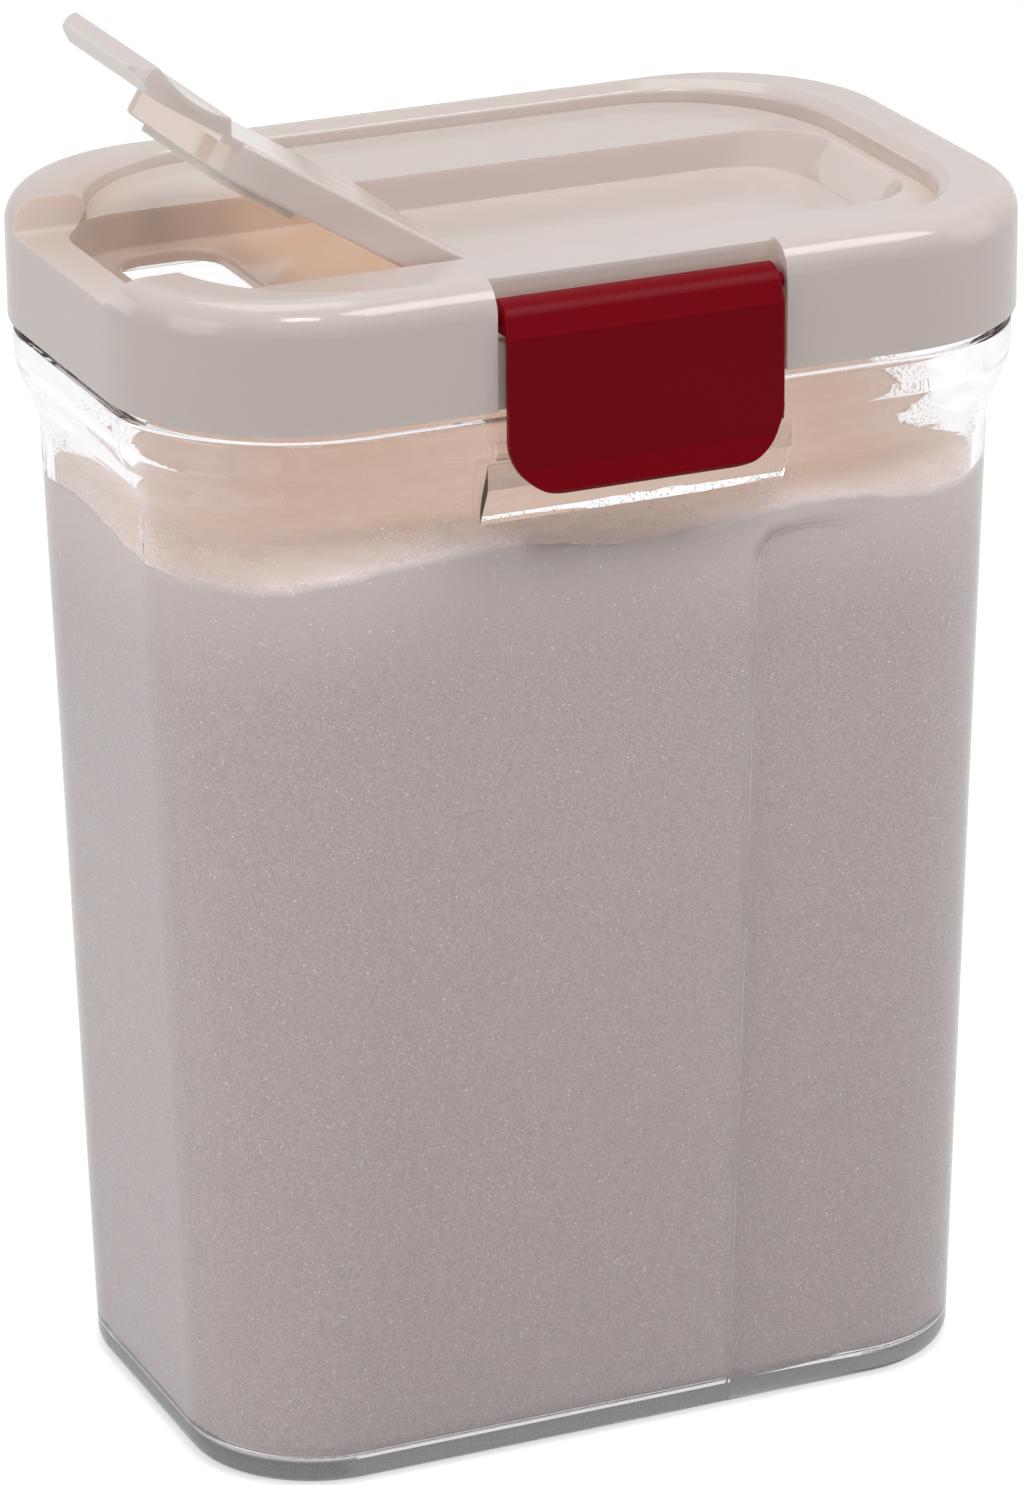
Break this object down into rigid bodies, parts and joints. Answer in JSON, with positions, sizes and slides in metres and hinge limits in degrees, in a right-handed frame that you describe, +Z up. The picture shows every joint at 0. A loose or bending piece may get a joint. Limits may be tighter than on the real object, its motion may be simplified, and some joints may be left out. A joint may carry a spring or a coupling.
{
  "type": "sugar storage container",
  "caption": "Tall clear canister with a rounded rectangular lid, a flip-up pouring flap, a swing-down front latch and silicone seals, for keeping and pouring sugar.",
  "frame": {"origin": "centre of the flat base, on the surface it stands on", "axes": "+X towards the hand-grip end, -X towards the pouring end, -Y towards the latch, +Z up"},
  "size_m": [0.184, 0.1246, 0.2797],
  "materials": {
    "clear_plastic": "clear moulded plastic, glossy, see-through",
    "cream_plastic": "warm off-white moulded plastic, semi-gloss",
    "red_plastic": "deep red moulded plastic, satin gloss",
    "silicone": "translucent white silicone, matte"
  },
  "bodies": {
    "container": {"container": "clear_plastic"},
    "lid": {"lid": "cream_plastic", "lid_seal": "silicone"},
    "flap": {"flap": "cream_plastic", "flap_seal": "silicone"},
    "latch": {"latch": "red_plastic"}
  },
  "joints": [
    {"name": "lid_lift", "type": "slide", "parent": "container", "child": "lid", "axis": [0, 0, 1], "range_m": [0, 0.06]},
    {"name": "flap_hinge", "type": "hinge", "parent": "lid", "child": "flap", "pos_m": [-0.023, 0, 0.23465], "axis": [0, 1, 0], "range_deg": [-32, 68]},
    {"name": "latch_hinge", "type": "hinge", "parent": "lid", "child": "latch", "pos_m": [0, -0.0578, 0.2354], "axis": [-1, 0, 0], "range_deg": [-1.85, 120]}
  ]
}
